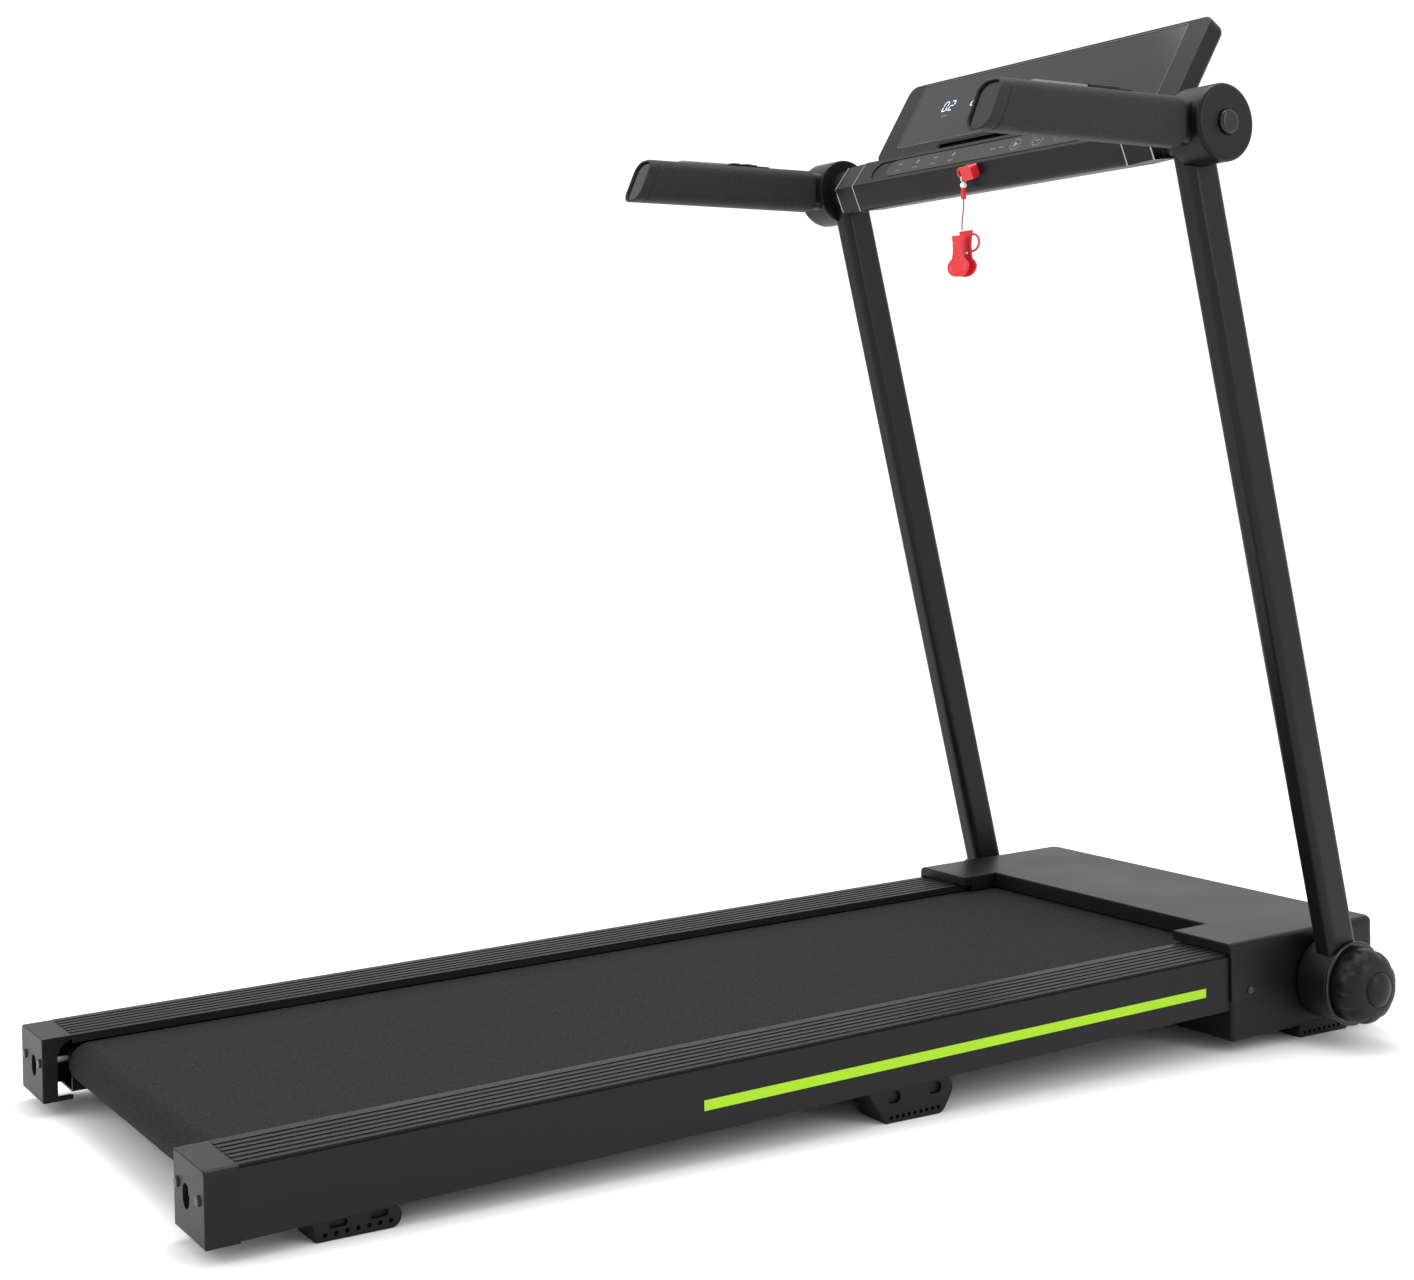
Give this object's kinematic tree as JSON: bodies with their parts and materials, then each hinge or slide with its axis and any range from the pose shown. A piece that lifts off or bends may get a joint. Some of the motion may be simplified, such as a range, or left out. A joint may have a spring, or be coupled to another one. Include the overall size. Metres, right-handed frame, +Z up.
{
  "type": "treadmill",
  "caption": "Folding home treadmill with a running belt on a low deck, two leaning uprights, level hand grips and a tilted console with a safety key.",
  "frame": {"origin": "on the floor, under the centre of the bounding box", "axes": "+X to the runner's right, +Y forward along the deck to the console and hood, +Z up"},
  "size_m": [0.726, 1.4195, 1.1523],
  "materials": {
    "powder_coat": "satin powder coat",
    "rail_plastic": "fine grained",
    "housing_plastic": "satin",
    "dark_plastic": "matt",
    "gloss_black": "glossy",
    "screen_glass": "dark glossy window",
    "stripe_green": "satin film",
    "belt_rubber": "diamond grained",
    "foam": "grained foam",
    "cushion_rubber": "matt",
    "steel": "turned",
    "zinc": "zinc plated",
    "dark_steel": "black oxide",
    "chrome_trim": "bright",
    "key_red": "glossy",
    "bead_white": "glossy",
    "cord_dark": "braided",
    "keypad_grey": "membrane",
    "board_wood": "waxed fibreboard",
    "circuit_board": "lacquered",
    "heat_sink": "as extruded",
    "motor_paint": "gloss paint",
    "sensor_metal": "satin"
  },
  "bodies": {
    "base": {"frame_tubes": "powder_coat", "frame_brackets": "powder_coat", "deck_board": "board_wood", "deck_cushions": "cushion_rubber", "running_belt": "belt_rubber", "roller_axles": "steel", "motor": "motor_paint", "motor_cradle": "powder_coat", "motor_controller": "heat_sink", "drive_belt": "belt_rubber", "hood": "housing_plastic", "base_pan": "dark_plastic", "power_inlet": "dark_plastic", "switch_frame": "dark_plastic", "cover_screws": "dark_steel", "side_rails": "rail_plastic", "accent_stripes": "stripe_green", "end_caps": "housing_plastic", "feet": "dark_plastic", "bolts": "zinc", "pivot_collars": "gloss_black"},
    "front_roller": {"front_roller": "steel", "roller_pulley": "heat_sink"},
    "rear_roller": {"rear_roller": "steel"},
    "motor_shaft": {"motor_shaft": "steel"},
    "mast": {"lower_drums": "housing_plastic", "uprights": "powder_coat", "elbows": "housing_plastic", "crossbar": "powder_coat", "beam_housing": "housing_plastic", "beam_cuffs": "housing_plastic", "beam_rings": "chrome_trim", "keypad_membrane": "keypad_grey", "console_housing": "housing_plastic", "display_window": "screen_glass", "display_board": "circuit_board", "device_slot": "gloss_black"},
    "handles": {"handle_hubs": "housing_plastic", "handle_cores": "powder_coat", "grips": "foam", "grip_end_plugs": "gloss_black", "sensor_strips": "sensor_metal", "handle_key_pads": "dark_plastic", "hub_covers": "housing_plastic"},
    "key_front_left": {"handle_key_front_left": "gloss_black"},
    "key_front_right": {"handle_key_front_right": "gloss_black"},
    "key_rear_left": {"handle_key_rear_left": "gloss_black"},
    "key_rear_right": {"handle_key_rear_right": "gloss_black"},
    "lock_button_left": {"lock_button_left": "gloss_black"},
    "lock_button_right": {"lock_button_right": "gloss_black"},
    "fold_knob_left": {"fold_knob_left": "housing_plastic"},
    "fold_knob_right": {"fold_knob_right": "housing_plastic"},
    "power_rocker": {"power_rocker": "gloss_black"},
    "safety_key": {"safety_key": "key_red"},
    "lanyard": {"lanyard_bead": "bead_white", "lanyard_ferrule": "key_red", "lanyard": "cord_dark", "clip_back": "key_red", "clip_pin": "steel"},
    "clip_jaw": {"clip_front": "key_red"}
  },
  "joints": [
    {"name": "front_roller_spin", "type": "hinge", "parent": "base", "child": "front_roller", "pos_m": [0, 0.54729, 0.08332], "axis": [1, 0, 0], "continuous": true},
    {"name": "rear_roller_spin", "type": "hinge", "parent": "base", "child": "rear_roller", "pos_m": [0, -0.66124, 0.04957], "axis": [1, 0, 0], "continuous": true},
    {"name": "motor_spin", "type": "hinge", "parent": "base", "child": "motor_shaft", "pos_m": [0, 0.64272, 0.06928], "axis": [1, 0, 0], "continuous": true},
    {"name": "mast_fold", "type": "hinge", "parent": "base", "child": "mast", "pos_m": [0, 0.61268, 0.07034], "axis": [1, 0, 0], "range_deg": [0, 70]},
    {"name": "handles_fold", "type": "hinge", "parent": "mast", "child": "handles", "pos_m": [0, 0.36024, 1.01376], "axis": [1, 0, 0], "range_deg": [-70, 0]},
    {"name": "safety_key_pull", "type": "slide", "parent": "mast", "child": "safety_key", "axis": [0, -0.911, -0.4123], "range_m": [0, 0.01]},
    {"name": "lanyard_swing", "type": "hinge", "parent": "safety_key", "child": "lanyard", "pos_m": [0, 0.31855, 0.99494], "axis": [1, 0, 0], "range_deg": [0, 25]},
    {"name": "clip_jaw_open", "type": "hinge", "parent": "lanyard", "child": "clip_jaw", "pos_m": [0, 0.31954, 0.90603], "axis": [1, 0, 0], "range_deg": [-14, 0], "stiffness_Nm_per_rad": 0.05, "springref_deg": 5.73},
    {"name": "power_rocker_tip", "type": "hinge", "parent": "base", "child": "power_rocker", "pos_m": [-0.14, 0.70248, 0.04294], "axis": [1, 0, 0], "range_deg": [-7, 7]},
    {"name": "fold_knob_left_turn", "type": "hinge", "parent": "base", "child": "fold_knob_left", "pos_m": [0, 0.61268, 0.07034], "axis": [1, 0, 0], "range_deg": [0, 270]},
    {"name": "lock_button_left_push", "type": "slide", "parent": "handles", "child": "lock_button_left", "axis": [1, 0, 0], "range_m": [0, 0.004], "stiffness_N_per_m": 1500, "springref_m": -0.002},
    {"name": "key_front_left_press", "type": "slide", "parent": "handles", "child": "key_front_left", "axis": [0, 0.0279, -0.9996], "range_m": [0, 0.001], "stiffness_N_per_m": 600, "springref_m": -0.0005},
    {"name": "key_rear_left_press", "type": "slide", "parent": "handles", "child": "key_rear_left", "axis": [0, 0.0279, -0.9996], "range_m": [0, 0.001], "stiffness_N_per_m": 600, "springref_m": -0.0005},
    {"name": "fold_knob_right_turn", "type": "hinge", "parent": "base", "child": "fold_knob_right", "pos_m": [0, 0.61268, 0.07034], "axis": [1, 0, 0], "range_deg": [0, 270]},
    {"name": "lock_button_right_push", "type": "slide", "parent": "handles", "child": "lock_button_right", "axis": [-1, 0, 0], "range_m": [0, 0.004], "stiffness_N_per_m": 1500, "springref_m": -0.002},
    {"name": "key_front_right_press", "type": "slide", "parent": "handles", "child": "key_front_right", "axis": [0, 0.0279, -0.9996], "range_m": [0, 0.001], "stiffness_N_per_m": 600, "springref_m": -0.0005},
    {"name": "key_rear_right_press", "type": "slide", "parent": "handles", "child": "key_rear_right", "axis": [0, 0.0279, -0.9996], "range_m": [0, 0.001], "stiffness_N_per_m": 600, "springref_m": -0.0005}
  ],
  "couplings": [
    {"joint": "rear_roller_spin", "follows": "front_roller_spin", "ratio": 1},
    {"joint": "motor_spin", "follows": "front_roller_spin", "ratio": 2.5},
    {"joint": "handles_fold", "follows": "mast_fold", "ratio": -1},
    {"joint": "lanyard_swing", "follows": "mast_fold", "ratio": 0.35}
  ]
}
